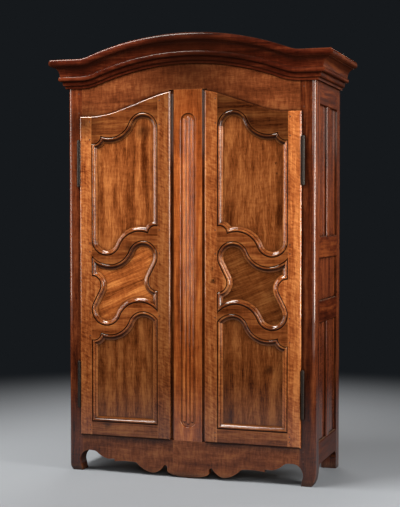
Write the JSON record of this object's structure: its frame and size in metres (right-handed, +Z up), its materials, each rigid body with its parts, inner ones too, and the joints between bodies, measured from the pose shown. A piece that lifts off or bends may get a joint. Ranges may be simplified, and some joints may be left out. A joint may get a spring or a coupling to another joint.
{
  "type": "armoire",
  "caption": "Tall free-standing walnut armoire with an arched cornice, shaped panelled doors that swing on pin hinges, inner shelves, a rim lock and sliding bolts.",
  "frame": {"origin": "centre of the footprint on the floor, under the middle of the overall box", "axes": "+Z up, +X to the viewer's right, the doors face -Y"},
  "size_m": [1.596, 0.618, 2.383],
  "materials": {
    "walnut_case": "waxed and hand polished, darkened reddish brown",
    "walnut_doors": "waxed and hand polished, warm orange brown",
    "walnut_door_panels": "waxed and hand polished, mottled figure",
    "walnut_pegs": "end grain, darkened",
    "oak_inside": "sawn and planed, unpolished",
    "wrought_iron": "forged, dark patina"
  },
  "bodies": {
    "carcass": {"apron_left": "walnut_case", "apron_right": "walnut_case", "back_muntins": "oak_inside", "back_panels": "oak_inside", "back_post_left": "walnut_case", "back_post_right": "walnut_case", "back_rails": "oak_inside", "case_pegs": "walnut_pegs", "centre_stile": "walnut_case", "cleats": "oak_inside", "cornice_front": "walnut_case", "cornice_left": "walnut_case", "cornice_right": "walnut_case", "floor_boards": "oak_inside", "frieze_rail": "walnut_case", "front_post_left": "walnut_case", "front_post_right": "walnut_case", "left_hinge_pins": "wrought_iron", "right_hinge_pins": "wrought_iron", "shelves": "oak_inside", "side_bottom_rail_left": "walnut_case", "side_bottom_rail_right": "walnut_case", "side_mid_rails_left": "walnut_case", "side_mid_rails_right": "walnut_case", "side_muntins_left": "walnut_case", "side_muntins_right": "walnut_case", "side_panels_left": "walnut_case", "side_panels_right": "walnut_case", "side_top_rail_left": "walnut_case", "side_top_rail_right": "walnut_case", "top_boards": "oak_inside"},
    "left_door": {"bolt_guides": "wrought_iron", "left_bottom_rail": "walnut_doors", "left_door_pegs": "walnut_pegs", "left_hinge_knuckles": "wrought_iron", "left_hinge_stile": "walnut_doors", "left_lower_mid_rail": "walnut_doors", "left_lower_panel": "walnut_door_panels", "left_meeting_stile": "walnut_doors", "left_middle_panel": "walnut_door_panels", "left_top_rail": "walnut_doors", "left_upper_mid_rail": "walnut_doors", "left_upper_panel": "walnut_door_panels"},
    "lock_bolt": {"lock_bolt": "wrought_iron"},
    "right_door": {"lock_case": "wrought_iron", "right_bottom_rail": "walnut_doors", "right_door_pegs": "walnut_pegs", "right_hinge_knuckles": "wrought_iron", "right_hinge_stile": "walnut_doors", "right_lower_mid_rail": "walnut_doors", "right_lower_panel": "walnut_door_panels", "right_meeting_stile": "walnut_doors", "right_middle_panel": "walnut_door_panels", "right_top_rail": "walnut_doors", "right_upper_mid_rail": "walnut_doors", "right_upper_panel": "walnut_door_panels"},
    "lower_bolt": {"lower_bolt": "wrought_iron"},
    "upper_bolt": {"upper_bolt": "wrought_iron"}
  },
  "joints": [
    {"name": "left_door_swing", "type": "hinge", "parent": "carcass", "child": "left_door", "pos_m": [-0.635, -0.272, 0], "axis": [0, 0, -1], "range_deg": [0, 165]},
    {"name": "right_door_swing", "type": "hinge", "parent": "carcass", "child": "right_door", "pos_m": [0.635, -0.272, 0], "axis": [0, 0, 1], "range_deg": [0, 165]},
    {"name": "lock_bolt_slide", "type": "slide", "parent": "right_door", "child": "lock_bolt", "axis": [-1, 0, 0], "range_m": [0, 0.014]},
    {"name": "upper_bolt_slide", "type": "slide", "parent": "left_door", "child": "upper_bolt", "axis": [0, 0, 1], "range_m": [0, 0.022]},
    {"name": "lower_bolt_slide", "type": "slide", "parent": "left_door", "child": "lower_bolt", "axis": [0, 0, -1], "range_m": [0, 0.022]}
  ]
}
